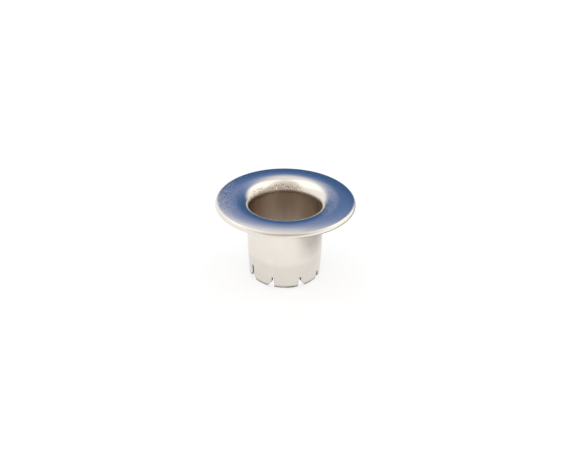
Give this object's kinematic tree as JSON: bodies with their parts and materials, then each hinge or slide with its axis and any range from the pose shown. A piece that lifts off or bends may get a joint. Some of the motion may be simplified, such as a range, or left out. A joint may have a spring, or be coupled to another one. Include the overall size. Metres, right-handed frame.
{
  "type": "grommet eyelet",
  "caption": "Round one-piece sheet-metal eyelet with a slightly domed flange, a rolled edge, a smooth round throat and a short barrel that ends in a crown of notched teeth.",
  "frame": {"origin": "on the axis of the bore, in the plane of the teeth's tips", "axes": "+Z along the axis from the teeth towards the flange; -Y is the side that the picture shows"},
  "size_m": [0.01, 0.01, 0.006],
  "materials": {
    "nickel_plate": "bright nickel plate on the flange, satin on the drawn barrel"
  },
  "bodies": {
    "root": {"eyelet": "nickel_plate"}
  },
  "joints": []
}
